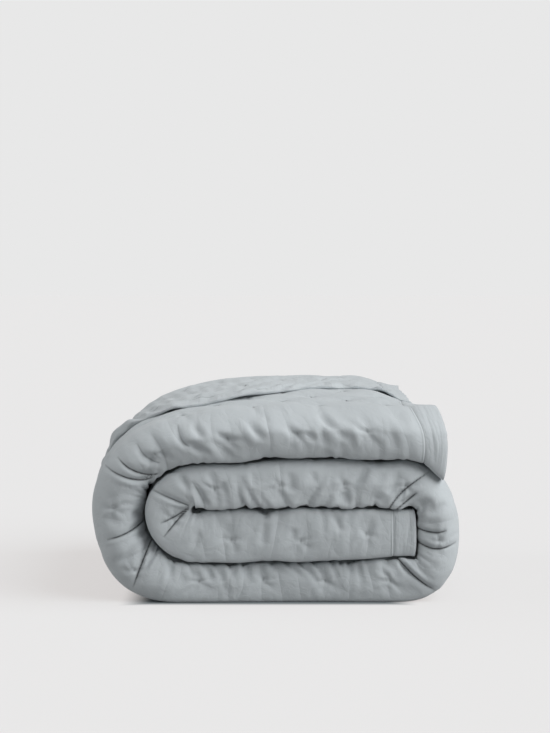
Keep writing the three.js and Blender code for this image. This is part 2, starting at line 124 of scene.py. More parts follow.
# The roll, in metres: half turns from the inner end outwards, then the run on top. A turn has its middle,
# reach and rise, the place and slope at its end, how full its two quarters are, and for its start, middle
# and end half the strip's thickness and how far the front fold's outer side draws back
roll = {
    "turns": [
        {"side": -1, "x": -0.118, "z": 0.1364, "reach": 0.041, "rise": 0.0380, "end": (-0.118, 0.1753, 0),
         "full": (0.56, 0.56), "halves": (0.0405, 0.0370, 0.032), "soft": (0.000, 0.000, 0.008)},
        {"side": 1, "x": 0.182, "z": 0.1035, "reach": 0.059, "rise": 0.0725, "end": (0.182, 0.0335, 0),
         "full": (0.58, 0.76), "halves": (0.0365, 0.0315, 0.0335), "soft": (0.013, 0.026, 0.002)},
        {"side": -1, "x": -0.140, "z": 0.138, "reach": 0.095, "rise": 0.1087, "end": (-0.120, 0.243, 0.2),
         "full": (0.70, 0.57), "halves": (0.0295, 0.040, 0.036), "soft": (0.002, 0.030, 0.054)},
    ],
    "innerEnd": {"x": 0.207, "z": 0.1030, "half": 0.0360, "soft": 0.002, "turns": 0.008},
    "crest": {"x": 0.100, "z": 0.254, "half": 0.0355},
    "outerEnd": {"x": 0.254, "z": 0.249, "half": 0.049, "slope": 0.12, "pull": 0.050, "opens": 0.075,
                 "halfBefore": 0.038, "soft": 0.044, "turns": (0.036, 0.010), "droop": 0.40},
    "droopFades": (0.030, 0.200),  # the depth over which the free end's droop fades out
    # behind its front fold the free end is no more than its hems: share lost, depth and length
    "thins": {"share": 0.38, "depth": (0.050, 0.250), "run": 0.110},
    "endsTurn": 0.090,  # the stretch over which the front fold turns away at both ends
    "eases": 0.050,  # the stretch over which the run on top and the covered layers begin
    "runHalves": (0.0413, 0.0405, 0.0314),  # half the thickness in the middle of each run
    "lag": {"inside": -0.032, "flap": 0.015},  # how far before the free end a panel stops
    "lagRun": 0.380,
    "lagOver": (0.040, 0.020, 0.020, 0.100),  # before the front fold, past its tip and twice past its end
    "contact": -0.0015,  # layers press into each other by this much
    "fill": (0.74, 1.60),  # how thin and thick the inner side may get to meet the layer inside it
    "swellOver": (0.040, 0.190),  # the depth over which the stack swells, upwards and sideways
    "swellRise": 0.068,
    "swellSpread": 0.02,
    "dome": (0.026, 0.22, 0.12),  # the further rise where the flap ends: its share, depth and half width
    "domeOver": (-0.09, 0.08, 0.12, 0.19),  # x over which it comes and goes
    "swellFades": (0.175, 0.255),  # x over which the rise fades out towards the free end
    "wander": ((0.004, 2.3, 0.6), (0.0025, 5.1, 2.1)),  # size, waves and phase of the front fold's wander
}


def tracePath(start, stretches):
    # straight and cubic Bezier stretches end to end: points, unit tangents and the length to each
    count = 400
    k = np.linspace(0, 1, count + 1)[1:, None]
    points = [np.array([start], float)]
    for stretch in stretches:
        corners = [points[-1][-1]] + [np.array(c, float) for c in stretch]
        if len(corners) == 2:
            points.append(corners[0] + (corners[1] - corners[0]) * k)
        else:
            a, b, c, d = corners
            near, far = a * (1 - k) ** 3 + 3 * b * k * (1 - k) ** 2, 3 * c * k ** 2 * (1 - k) + d * k ** 3
            points.append(near + far)
    p = np.vstack(points)
    s = np.concatenate([[0], np.cumsum(np.linalg.norm(np.diff(p, axis=0), axis=1))])
    tangent = unit(np.gradient(p, s, axis=0))
    return {"p": p, "t": tangent, "s": s, "marks": s[::count], "length": s[-1]}


def along(path, s, key="p"):
    # the path's point, or its tangent, at length s
    return np.stack([np.interp(s, path["s"], path[key][:, i]) for i in (0, 1)], axis=-1)


def rollPath():
    # the centre line of the rolled strip in x and z, from the inner end to the free end: for each turn a
    # straight run and two quarters of an oval, then two easy curves to the crest and to the free end
    stretches = []
    for turn in roll["turns"]:
        side, x, z = turn["side"], turn["x"], turn["z"]
        foot = z + side * turn["rise"]
        far = x + side * turn["reach"]
        entering, leaving = turn["full"]
        endX, endZ, slope = turn["end"]
        back = leaving * (endX - far)
        stretches.append([(x, foot)])
        stretches.append([(x + entering * (far - x), foot), (far, z + entering * (foot - z)), (far, z)])
        stretches.append([(far, z + leaving * (endZ - z)), (endX - back, endZ - slope * back), (endX, endZ)])
    crest, end = roll["crest"], roll["outerEnd"]
    third, ease = (crest["x"] - endX) / 3, (end["x"] - crest["x"]) / 3
    stretches.append([(endX + third, endZ + slope * third), (crest["x"] - third, crest["z"]),
                      (crest["x"], crest["z"])])
    stretches.append([(crest["x"] + ease, crest["z"]),
                      (end["x"] - end["pull"], end["z"] + end["pull"] * end["slope"]), (end["x"], end["z"])])
    return tracePath((roll["innerEnd"]["x"], roll["innerEnd"]["z"]), stretches)


def foldPath():
    # the quilt's face in section, in depth y and thickness t: tucked panel, front fold, inside panel,
    # back fold and flap
    half, loop, depth, blunt = fold["half"], fold["loopDepth"], fold["depth"], fold["loopBlunt"]
    tuck = -half + 2 * fold["pad"] + fold["layerGap"]
    back, middle = depth - loop, (fold["riseFoot"] + loop) / 2
    near, far = loop * (1 - blunt), back + loop * blunt
    return tracePath((depth - fold["tuckSetback"], tuck), [
        [(fold["riseFoot"], tuck)],
        [(middle, tuck), (middle, half), (loop, half)],
        [(near, half), (0, half * (1 - blunt)), (0, 0)],
        [(0, -half * (1 - blunt)), (near, -half), (loop, -half)],
        [(back, -half)],
        [(far, -half), (depth, -half * (1 - blunt)), (depth, 0)],
        [(depth, half * (1 - blunt)), (far, half), (back, half)],
        [(np.mean(fold["flapSetback"]), half)],
    ])


spiral = rollPath()
section = foldPath()
length = spiral["length"] + roll["lag"]["inside"]
width = section["length"]
turnStarts, turnEnds = spiral["marks"][1:9:3], spiral["marks"][3:10:3]
turnMiddles = (turnStarts + turnEnds) / 2
runMiddles = (turnStarts + np.append(0, turnEnds[:-1])) / 2
crestAt = spiral["marks"][10]
# places along the roll: both ends with the start and end of each turn, and those with each turn's middle
bends = np.array([0, *np.stack([turnStarts, turnEnds], axis=1).ravel(), length])
stations = np.sort([*bends, *turnMiddles])
frontStart, frontTip, frontEnd, backStart = section["marks"][2:6]
backEnd = section["marks"][7]
print(f"roll {length:.3f} m along its centre line, face {width:.3f} m across")


def halfAt(s):
    # half the strip's thickness along the roll, eased from knot to knot
    end = roll["outerEnd"]
    knots = [(0, roll["innerEnd"]["half"]), (crestAt, roll["crest"]["half"]),
             (spiral["length"] - end["opens"], end["halfBefore"]), (spiral["length"], end["half"])]
    knots += zip(runMiddles, roll["runHalves"])
    for start, middle, finish, turn in zip(turnStarts, turnMiddles, turnEnds, roll["turns"]):
        knots += zip((start, middle, finish), turn["halves"])
    at, half = np.array(sorted(knots)).T
    i = np.clip(np.searchsorted(at, s) - 1, 0, len(at) - 2)
    return half[i] + (half[i + 1] - half[i]) * smooth(0, 1, (s - at[i]) / (at[i + 1] - at[i]))


def innerHalves():
    # how far the strip's inner side may reach before it meets the layer inside it: the distance from the
    # centre line to the nearest point of that layer's side, along the whole roll, evened out
    samples, endPoints, evened = 1200, 30, 41
    s = np.linspace(0, spiral["length"], samples)
    centre, tangent = along(spiral, s), along(spiral, s, "t")
    normal = np.stack([-tangent[:, 1], tangent[:, 0]], axis=-1)
    half = halfAt(s)[:, None]
    outside, inside = centre + normal * half, centre - normal * half
    firstRun = s < turnStarts[0]
    endLine = inside[0] + (outside[0] - inside[0]) * np.linspace(0, 1, endPoints)[:, None]

    def nearest(points, others):
        # the distance from each point to the nearest of the others
        return np.linalg.norm(points[:, None] - others[None], axis=-1).min(axis=1)

    reach = half[:, 0].copy()
    second = (s > turnEnds[0]) & (s < turnStarts[1])
    reach[second] = nearest(centre[second], inside[firstRun])
    later = s >= turnStarts[1]
    wraps = np.concatenate([outside[s < turnEnds[1]], endLine])
    apart = s[later] > turnEnds[1]
    near = nearest(centre[later], np.concatenate([outside[firstRun], endLine]))
    reach[later] = np.where(apart, nearest(centre[later], wraps), near)
    least, most = roll["fill"]
    reach = np.clip(reach - roll["contact"], least * half[:, 0], most * half[:, 0])
    window = np.hanning(evened)
    padded = np.pad(reach, evened // 2, mode="edge")
    return s, np.convolve(padded, window / window.sum(), mode="valid")


reachAt = innerHalves()


def rolled(u, y, t, lag):
    # carries a point of the section, depth y and thickness t, to its place at length u of the roll: out from
    # the centre line by its share of the thickness there. The panels slip past each other towards the free
    # end, and the stack swells behind the front fold
    corner = fold["corner"] * np.clip(np.abs(t) / fold["half"], 0, 1) ** fold["cornerPower"]
    corner = corner * (y < fold["cornerDepth"]) * (1 - smooth(0, fold["cornerRun"], u))
    s = u - lag * smooth(length - roll["lagRun"], length, u)
    s = np.clip(s + corner, 0, spiral["length"])
    centre, tangent = along(spiral, s), along(spiral, s, "t")
    thins = roll["thins"]
    thin = 1 - thins["share"] * smooth(*thins["depth"], y) * smooth(length - thins["run"], length, s)
    out = t / fold["half"] * np.where(t > 0, halfAt(s) * thin, np.interp(s, *reachAt))
    fades = 1 - smooth(*roll["swellFades"], centre[..., 0])
    swell = smooth(*roll["swellOver"], y)
    share, middle, reach = roll["dome"]
    over = smooth(*roll["domeOver"][:2], centre[..., 0]) - smooth(*roll["domeOver"][2:], centre[..., 0])
    rise = roll["swellRise"] * swell + share * bell(y - middle, reach) * over
    around = 2 * math.pi * u / length
    wander = sum(size * np.sin(waves * around + phase) for size, waves, phase in roll["wander"])
    x = (centre[..., 0] - tangent[..., 1] * out) * (1 + roll["swellSpread"] * swell)
    z = (centre[..., 1] + tangent[..., 0] * out) * (1 + rise * fades)
    return np.stack([x, y + wander - fold["depth"] / 2, np.maximum(z, 0)], axis=-1)


# How fine the skin is, in metres between rows, and how far each fineness goes
mesh = {
    "run": 0.0041, "turns": (0.0021, 0.0023, 0.0026), "turnFades": 0.030, "seam": 0.0022, "seamReach": 0.012,
    "top": 0.0078, "front": 0.0031, "inside": 0.0060, "hidden": 0.060, "back": 0.010, "flap": 0.0145,
    "flapEdge": 0.0042, "insideReach": 0.036, "topReach": 0.260, "flapEdgeReach": 0.052,
    "shownFades": (0.030, 0.020),  # where the cloth that settles begins and ends
    # the rows of the lining: in border widths from an edge, the counts in the two folds, and metres before
    # the front fold
    "hemRows": (0, 0.5, 1, 1.4, 2), "foldRows": (10, 5),
    "topRows": (0.015, 0.03, 0.05, 0.08, 0.12, 0.18, 0.3),
}


def spacedOut(total, spacing):
    # positions from 0 to total whose steps follow a spacing given as a function of position
    samples = 20001
    fine = np.linspace(0, total, samples)
    count = np.concatenate([[0], np.cumsum(np.diff(fine) / spacing((fine[1:] + fine[:-1]) / 2))])
    steps = int(round(count[-1]))
    return np.interp(np.linspace(0, count[-1], steps + 1), count, fine)


def alongSpacing(u):
    # finer in the turns and at the seams of the two end borders
    step = np.full_like(u, mesh["run"])
    fades = mesh["turnFades"]
    for start, end, turnStep in zip(turnStarts, turnEnds, mesh["turns"]):
        inTurn = smooth(start - fades, start, u) * (1 - smooth(end, end + fades, u))
        step += (turnStep - step) * inTurn
    edge = np.minimum(u, length - u)
    return np.where(np.abs(edge - fold["border"]) < mesh["seamReach"], mesh["seam"], step)


def acrossSpacing(v):
    # fine on the front fold and where the flap ends, coarse where panels lie inside the stack
    step = np.full_like(v, mesh["hidden"])
    for low, high, rowStep in (
        (frontStart - mesh["topReach"], frontStart, "top"),
        (frontStart, frontEnd, "front"),
        (frontEnd, frontEnd + mesh["insideReach"], "inside"),
        (backStart - mesh["insideReach"], backEnd, "back"),
        (backEnd, width - mesh["flapEdgeReach"], "flap"),
        (width - mesh["flapEdgeReach"], width, "flapEdge"),
    ):
        step = np.where((v >= low) & (v < high), mesh[rowStep], step)
    return step


uRow = spacedOut(length, alongSpacing)
vRow = spacedOut(width, acrossSpacing)
u, v = np.meshgrid(uRow, vRow, indexing="ij")
print("skin", u.shape)


def sectionAt(v):
    # depth, thickness and the direction into the padding: straight in, or to the middle of a fold
    y, t = along(section, v).T
    into = np.zeros(v.shape + (2,))
    into[..., 1] = np.where((v >= frontEnd) & (v <= backStart), 1, -1)
    bunched = np.zeros_like(v)
    for root, inFold in ((fold["core"], y < fold["core"]),
                         (fold["depth"] - fold["core"], y > fold["depth"] - fold["core"])):
        into[inFold] = unit(np.stack([root - y, -t], axis=-1))[inFold]
        bunched[inFold] = fold["loopPad"] * (1 - (t[inFold] / fold["half"]) ** 2)
    return y, t, into, fold["pad"] + bunched


def fullness(edge):
    # 0 on the flat border, 1 on the full padding
    return np.sqrt(smooth(fold["border"], fold["border"] + fold["shoulder"], edge))


yRow, tRow, intoRow, padRow = sectionAt(vRow)
before, pastTip, pastEnd, after = roll["lagOver"]
lagInside = smooth(frontStart - before, frontTip + pastTip, vRow)
lagInside = lagInside * (1 - smooth(frontEnd + pastEnd, frontEnd + after, vRow))
lagRow = roll["lag"]["inside"] * lagInside + roll["lag"]["flap"] * smooth(backStart, backEnd, vRow)


def softness():
    # how far the front fold's outer side draws back where nothing presses on it, along the roll
    soft = sum((turn["soft"] for turn in roll["turns"]), ())
    return np.interp(u, stations, (roll["innerEnd"]["soft"], *soft, roll["outerEnd"]["soft"]))


def flapShape():
    # depth and thickness of the flap: it runs from the back fold to a free edge that slants away from the
    # front fold, and comes down there until it lies on the panel below; then the height of its crumpled tab
    back, half = fold["depth"] - fold["loopDepth"], fold["half"]
    first, least, last = fold["flapSetback"]
    setback = (least + (first - least) * (1 - smooth(turnStarts[2], turnEnds[2], u))
               + (last - least) * smooth(turnEnds[2], length, u))
    share = np.clip((v - backEnd) / (width - backEnd), 0, 1)
    panel = vRow < frontStart
    below = np.interp(setback, yRow[panel][::-1], tRow[panel][::-1])
    drop = half - below - fold["hem"] - fold["flapLies"]
    y = back - share * (back - setback)
    near = 1 - (y - setback) / fold["flapSlope"]
    x = along(spiral, np.clip(u, 0, spiral["length"]))[..., 0]
    late = u > turnMiddles[2]
    lift = sum(height * bell(x - at, reach) for at, reach, height in fold["flapLifts"])
    lift = lift * smooth(*fold["liftOver"], near) * late
    at, reach, height = fold["flapTab"]
    tab = height * bell(x - at, reach) * smooth(*fold["tabOver"], near) * late
    return y, half - drop * smooth(0, 1, near) + lift + tab, tab


def recess():
    # how far the front fold draws back: a step for each layer, and the cube of the way to its inner side in
    # a turn. A run's edges come forward by the square of the way to them, and the lower edge of the run on
    # top goes back by such a square
    ahead = along(spiral, np.clip(u, 0, spiral["length"]), "t")[..., 0]
    side = np.where(v < frontStart, 1, np.where(v > frontEnd, -1, np.clip(tRow / fold["half"], -1, 1)))
    within = np.maximum(-side, 0) ** 3 * (1 - ahead ** 2) * (u > turnStarts[1])
    onTop = smooth(turnEnds[2] - roll["eases"], turnEnds[2], u)
    step = np.interp(u, bends, fold["stagger"])
    step = step + fold["leftTurn"] * bell(u - turnMiddles[2], (turnEnds[2] - turnStarts[2]) / 3)
    forward = fold["square"] * (side * ahead) ** 2 * (1 - onTop)
    under = fold["under"] * np.maximum(-side, 0) ** 2 * onTop
    inTurn = np.where(u < runMiddles[2], *fold["recess"])
    return step - forward + under + inTurn * within * (1 - onTop)


flapDepth, flapLevel, flapTab = flapShape()
onFlap = v > backEnd
outer = np.where(v < frontStart, 1, np.clip(tRow / fold["half"], 0, 1)) * (v < frontTip)
atInnerEnd = np.clip(1 - u / roll["endsTurn"], 0, 1) ** 2
atFreeEnd = np.clip(1 - (length - u) / roll["endsTurn"], 0, 1) ** 2
upper, lower = roll["outerEnd"]["turns"]
turnAway = roll["innerEnd"]["turns"] * atInnerEnd
turnAway = turnAway + (upper + (lower - upper) * smooth(frontStart, frontEnd, v)) * atFreeEnd
drawnBack = (softness() * outer ** 2 + turnAway + recess()) * (1 - smooth(*fold["backFades"], yRow))
depthAt = np.where(onFlap, flapDepth, yRow + drawnBack)

droop = roll["outerEnd"]["droop"] * atFreeEnd
droop = droop * smooth(frontTip, frontEnd, v) * (1 - smooth(*roll["droopFades"], yRow))
covered = np.where(v > frontTip, 1, 1 - smooth(turnStarts[1], turnStarts[1] + roll["eases"], u))
swing = sum(np.sin(2 * math.pi * u / wave + phase) for wave, phase in fold["slitWaves"])
closes, atEnd, afterTurn = fold["slitCloses"]
slit = np.interp(swing, fold["slitSwing"], fold["slit"]) * covered * (1 - smooth(*fold["slitFades"], yRow))
slit = slit * (1 - closes * bell(u, atEnd) - closes * bell(u - turnEnds[1], afterTurn))
levelAt = np.where(onFlap, flapLevel, tRow * (1 + droop) * (1 - slit))


def facePoint(sink, slip=0.0):
    # the quilt's face at every u and v, moved in by sink and slipped along the roll
    return rolled(u + slip, depthAt + intoRow[:, 0] * sink, levelAt + intoRow[:, 1] * sink, lagRow)


endEdge = np.minimum(u, length - u)
sideEdge = np.minimum(v, width - v)
body = fullness(endEdge) * fullness(sideEdge)
sink = np.where(u < length / 2, fold["innerSink"], fold["endSink"]) * (1 - fullness(endEdge))

# Quilting, puckers and creases, in metres, with waves as shortest and longest length and number. The creases
# are placed as seen from the front: the wrap that they lie on, depth and width in millimetres, then
# x and z in millimetres from root to tip. A rooted one is deepest at its root, a loose one in its middle
relief = {
    "seed": 7,
    "tackStep": 0.0492, "tackStart": 0.028, "rowStep": 0.051,
    "stray": 0.004, "strayWaves": (0.25, 0.7, 5),  # how far the tacks stray from their grid
    "pillow": 0.0032, "pillowPower": 1.4, "dimple": 0.0018, "dimpleWidth": 0.0040,
    # puckers round a tack: depth, how many, how unevenly they stand, and the ring that they fill
    "star": 0.0010, "starPoints": 5, "starTwist": 2, "starWaves": (0.1, 0.3, 5),
    "starAt": 0.008, "starWidth": 0.013, "starFrom": 0.006,
    "seam": 0.0012, "seamWidth": 0.0024,
    "flapWave": 0.0012, "flapWaves": (0.018, 0.070, 50, 1.6), "flapWaveFrom": 0.100, "tabCrumple": 900,
    "gather": 0.0070, "gatherStep": (0.011, 0.030), "gatherBefore": 0.050, "gatherSharp": 0.6,
    "gatherSlant": 0.35, "slantWaves": (0.10, 0.40, 6), "gatherLean": 0.12,
    # least and most share of a pucker's depth and of its way across, and where it fades and ends
    "gatherDeep": (0.1, 1.0), "gatherReach": (0.25, 1.1), "gatherFades": 0.15, "gatherEnds": 0.030,
    # how crowded the fold's inner side is, from the inner end: the end, then the middle of each run with the
    # start, middle and end of the turn after it, then the crest and the free end
    "crowding": (0.2, 0.7, 0.4, 0.5, 1.0, 1.3, 0.4, 0.35, 0.3, 1.5, 1.2, 0.15, 0.15, 0.3, 0.1),
    "calm": 0.010, "calmShare": 0.85,  # how far and how much a sharp crease stills the puckers beside it
    "sinks": (-0.004, 0.011),  # least and most sink of creases and puckers together
    "floorFades": 0.020,  # the height over which all relief fades to the floor
    "creaseDepth": 0.0015,  # the depth of a crease whose depth is given as 1
    "wrapMargin": 0.050, "creaseBefore": 0.090, "creasePast": 0.015,  # how much cloth a crease may mark
    "rootShare": 0.35, "rootRun": 0.25,  # a rooted crease's depth at its very root, and where it is deepest
    "sharpFrom": (1.2, 2.2),  # depth for width at which a soft dip becomes a sharp V
    "dipWidth": 2, "steepShare": 0.3, "flare": 3,  # the dip's width, and the V's steep and flared parts
    "lip": 0.30, "lipAt": 2.4, "lipWidth": 1.6,  # the raised lip on one side, in widths of the crease
    "lineGain": 2.6, "lineReach": 2.5,  # how soon the painted shade line of a crease is full, and the millimetres it may fill
    "rooted": [
        ("inner", 4, 2.2, (-131, 147), (-165, 161), (-188, 172)),
        ("inner", 4, 2, (-130, 144), (-149, 130), (-174, 119)),
        ("inner", 4, 2, (-130, 141), (-147, 123), (-169, 96)),
        ("inner", 2.5, 4, (-112, 139), (-119, 133), (-128, 120)),
        ("inner", 3, 3, (-16, 141), (-19, 128)),
        ("second", 5, 3.2, (-105, 143), (-111, 160), (-126, 186)),
        ("second", 4, 3.5, (146, 148), (161, 164)),
        ("second", 6, 2.5, (167, 143), (190, 170), (228, 196)),
        ("second", 5, 2.2, (178, 141), (195, 155), (208, 166)),
        ("second", 5, 4, (206, 141), (220, 148), (233, 151)),
        ("outer", 5, 2.2, (210, 111), (233, 105), (253, 109)),
        ("outer", 6, 2.6, (207, 92), (224, 83), (243, 81), (271, 91)),
        ("outer", 7, 2.5, (177, 68), (196, 48), (215, 31), (243, 13)),
        ("outer", 5, 5, (159, 68), (176, 53)),
        ("outer", 4, 6, (99, 63), (117, 50), (134, 18)),
        ("outer", 3, 2.5, (-25, 61), (-18, 29)),
        ("outer", 3, 3, (-44, 61), (-41, 47), (-45, 24)),
        ("outer", 3, 2.5, (-100, 61), (-96, 29)),
        ("outer", 2.5, 2.5, (-158, 66), (-156, 36)),
        ("outer", 7, 2, (-186, 92), (-199, 60), (-214, 19)),
        ("outer", 6, 2.2, (-196, 122), (-220, 105), (-255, 93)),
        ("outer", 4, 3.5, (-197, 133), (-215, 128)),
        ("outer", 6, 2.6, (-184, 188), (-212, 185), (-258, 204)),
        ("outer", 5, 2.3, (-176, 193), (-206, 196), (-238, 219)),
        ("outer", 6, 3.6, (-173, 210), (-193, 220), (-207, 240)),
        ("outer", 5, 3.4, (-160, 205), (-171, 234), (-190, 254)),
        ("outer", 3, 4, (-65, 217), (-77, 230), (-90, 254)),
    ],
    "loose": [
        ("inner", 2.5, 2.5, (-74, 127), (-76, 88)),
        ("inner", 1.5, 3, (-114, 109), (-123, 82)),
        ("inner", 3, 3, (-14, 121), (-23, 86)),
        ("inner", 3.5, 2.6, (84, 138), (97, 106)),
        ("inner", 2.5, 2.5, (25, 114), (27, 96)),
        ("inner", 2.5, 3.5, (140, 132), (132, 96)),
        ("second", 3, 3, (-143, 197), (-129, 165)),
        ("second", 1.5, 3, (-95, 202), (-95, 180)),
        ("second", 2, 3, (-79, 184), (-80, 159)),
        ("second", 2, 3.5, (-53, 194), (-54, 164)),
        ("second", 1.5, 3, (-32, 199), (-34, 174)),
        ("second", 4.5, 4, (133, 206), (122, 188), (111, 165)),
        ("second", 4, 4.5, (112, 177), (95, 149)),
        ("second", 3.5, 4, (180, 201), (168, 158)),
        ("second", 3, 3.5, (20, 198), (21, 165)),
        ("second", 2.5, 3, (52, 200), (56, 178)),
        ("second", 3.5, 3, (98, 164), (104, 146)),
        ("second", 1.5, 4, (155, 197), (151, 178)),
        ("second", 3, 4, (220, 135), (236, 139), (253, 152)),
        ("outer", 1.5, 3, (-144, 22), (-133, 47)),
        ("outer", 3.5, 3, (-204, 86), (-237, 56)),
        ("outer", 2, 4, (-229, 120), (-254, 128)),
        ("outer", 4.5, 2.8, (-146, 268), (-139, 245), (-125, 234)),
        ("outer", 3, 3, (-125, 267), (-106, 247)),
        ("outer", 4, 3, (-126, 245), (-115, 231), (-96, 227)),
        ("outer", 4, 3, (-43, 274), (-33, 260), (-17, 247)),
        ("outer", -2, 4, (-45, 271), (-33, 234)),
        ("outer", 3, 3, (18, 270), (32, 242)),
        ("outer", 2.5, 3, (45, 262), (54, 240)),
        ("outer", 3, 3, (59, 285), (84, 259)),
        ("outer", 3, 3, (66, 273), (71, 234)),
        ("outer", 2.5, 2.5, (93, 259), (100, 244)),
        ("outer", 3, 3.5, (-84, 256), (-62, 236)),
        ("outer", -2.5, 2.5, (107, 262), (116, 254), (119, 228)),
        ("outer", 2.5, 4, (167, 272), (171, 247), (173, 225)),
        ("outer", 2.5, 5, (155, 286), (195, 274)),
    ],
}

# How the cloth settles: spare cloth in shares of its length, the padding's pull, the cloth's stiffness, the
# lengths over which the front fold and the turns begin and end, and how far the inner side slips
cloth = {
    "steps": 120, "spare": 0.006, "spareFront": 0.012, "spareTurn": 0.014, "spareAcross": 0.008,
    "padding": 0.02, "stiffness": 0.010, "thread": 0.75, "shear": 0.25, "most": 0.006,
    "unevenness": 0.0011, "unevenWaves": (0.020, 0.070, 60, 2.0),
    "frontFades": (0.050, 0.030), "turnFades": (0.020, 0.010),
    "slip": (-0.006, 0.010), "slipFades": (0.010, 0.100),  # before and after a turn
}


def slipAlong():
    # how far the inner side has slipped ahead of the outer side: most after a turn, then back past zero
    before, after = cloth["slipFades"]
    inner = smooth(frontStart - before, frontEnd, v) * (1 - smooth(frontEnd, frontEnd + after, v))
    return np.interp(u, bends, (0, *cloth["slip"] * len(turnStarts), 0)) * inner


draw = np.random.default_rng(relief["seed"])


def ripples(u, v, size, low, high, count, stretch=1.0):
    # a sum of plane waves of random direction and phase, wavelengths from low to high, of unit spread;
    # stretch lengthens them across the width
    total = np.zeros(np.broadcast(u, v).shape)
    for wave in range(count):
        turn, phase = draw.uniform(0, 2 * math.pi, 2)
        pace = 2 * math.pi / math.exp(draw.uniform(math.log(low), math.log(high)))
        total += np.sin(pace * (u * math.cos(turn) + v * math.sin(turn) / stretch) + phase)
    return size * total / math.sqrt(count / 2)


def tackPlaces():
    # share of the way from a tack to the middle of its cell, and the distances along and across to the
    # nearest tack
    stray = (relief["stray"], *relief["strayWaves"])
    a = (u - relief["tackStart"] + ripples(u, v, *stray)) / relief["tackStep"]
    b = (v - frontTip + ripples(u, v, *stray)) / relief["rowStep"]
    share = (1 + np.cos(math.pi * a) * np.cos(math.pi * b)) / 2
    nearA, nearB = np.round(a), np.round(b)
    odd = (nearA + nearB) % 2 != 0
    offA, offB = a - nearA, b - nearB
    # where the nearest grid place is an empty one, the nearest tack is one step along or one row across
    alongFirst = np.abs(offA) * relief["tackStep"] > np.abs(offB) * relief["rowStep"]
    offA = np.where(odd, offA, np.where(alongFirst, offA - np.sign(offA + tiny), offA))
    offB = np.where(odd, offB, np.where(alongFirst, offB, offB - np.sign(offB + tiny)))
    return share, offA * relief["tackStep"], offB * relief["rowStep"]


def gathers():
    # puckers where the fold's inner side is crowded: scallops between unevenly spaced troughs, deepest at
    # the inner side, each fading out somewhere across the front and leaning a little
    steps = draw.uniform(*relief["gatherStep"], int(length / relief["gatherStep"][0]))
    knots = np.concatenate([[0], np.cumsum(steps)]) - relief["gatherBefore"]
    slant = relief["gatherSlant"] * ripples(u, 0 * v, 1, *relief["slantWaves"])
    phase = np.interp(u + slant * (v - frontEnd), knots, np.arange(len(knots)))
    leaning = phase + relief["gatherLean"] * (1 - np.cos(2 * math.pi * phase))
    trough = 1 - np.abs(np.sin(math.pi * leaning)) ** relief["gatherSharp"]
    which = np.round(phase).astype(int)
    deep = draw.uniform(*relief["gatherDeep"], len(knots))[which]
    reach = draw.uniform(*relief["gatherReach"], len(knots))[which]
    across = np.clip((frontEnd - v) / (frontEnd - frontStart), 0, 2)
    fade = 1 - smooth(relief["gatherFades"] * reach, reach, across)
    fade = fade * (1 - smooth(frontEnd, frontEnd + relief["gatherEnds"], v))
    crowded = np.interp(u, np.sort([*stations, *runMiddles, crestAt]), relief["crowding"])
    return relief["gather"] * deep * trough * fade * crowded


def creaseSink(place, crease, rooted):
    # at every point of the face, a trough along a curve through the crease's points, on its own wrap of the
    # front fold: a soft dip, or a sharp V whose sides pull down the cloth beside it, tapered along its
    # length. Gives its depth, the share of its dark line of painted shade and the distance from it, negative
    # on one side
    wrap, depth, wide, *points = crease
    starts = {"inner": 0, "second": turnMiddles[0], "outer": turnMiddles[1]}
    ends = {"inner": turnMiddles[0], "second": turnMiddles[1], "outer": length}
    near = (u > starts[wrap] - relief["wrapMargin"]) & (u < ends[wrap] + relief["wrapMargin"])
    near = near & (v > frontStart - relief["creaseBefore"]) & (v < frontEnd + relief["creasePast"])
    samples = 40
    k = np.linspace(0, 1, samples)
    knots = np.linspace(0, 1, len(points))
    curve = [np.polyval(np.polyfit(knots, axis, len(points) - 1), k) for axis in zip(*points)]
    curve = np.stack(curve, axis=-1)
    seen = place[near][:, (0, 2)] * mmPerMetre
    offset = seen[:, None] - curve[None]
    gaps = np.linalg.norm(offset, axis=-1)
    nearest = gaps.argmin(axis=1)
    beside = offset[np.arange(len(seen)), nearest]
    ahead = unit(np.gradient(curve, axis=0))[nearest]
    across = ahead[:, 0] * beside[:, 1] - ahead[:, 1] * beside[:, 0]
    side = np.sign(across)
    gap = np.where((nearest > 0) & (nearest < samples - 1), np.abs(across), gaps.min(axis=1))
    fromRoot = relief["rootShare"] + (1 - relief["rootShare"]) * smooth(0, relief["rootRun"], k)
    taper = (fromRoot * (1 - k ** 2) if rooted else np.sin(math.pi * k))[nearest]
    sharp = float(smooth(*relief["sharpFrom"], abs(depth) / wide))
    steep = relief["steepShare"] * np.exp(-gap / wide)
    flared = (1 - relief["steepShare"]) * np.exp(-gap / wide / relief["flare"])
    shape = (1 - sharp) * bell(gap, relief["dipWidth"] * wide) + sharp * (steep + flared)
    lip = bell(gap * side - relief["lipAt"] * wide, relief["lipWidth"] * wide)
    shape = shape - relief["lip"] * sharp * lip
    total, weight, line = np.zeros_like(u), np.zeros_like(u), np.full_like(u, farAway)
    total[near] = relief["creaseDepth"] * depth * taper * shape
    weight[near] = np.minimum(relief["lineGain"] * taper, 1) * sharp * bell(gap, relief["lineReach"])
    line[near] = gap * side / mmPerMetre
    return total, weight, line


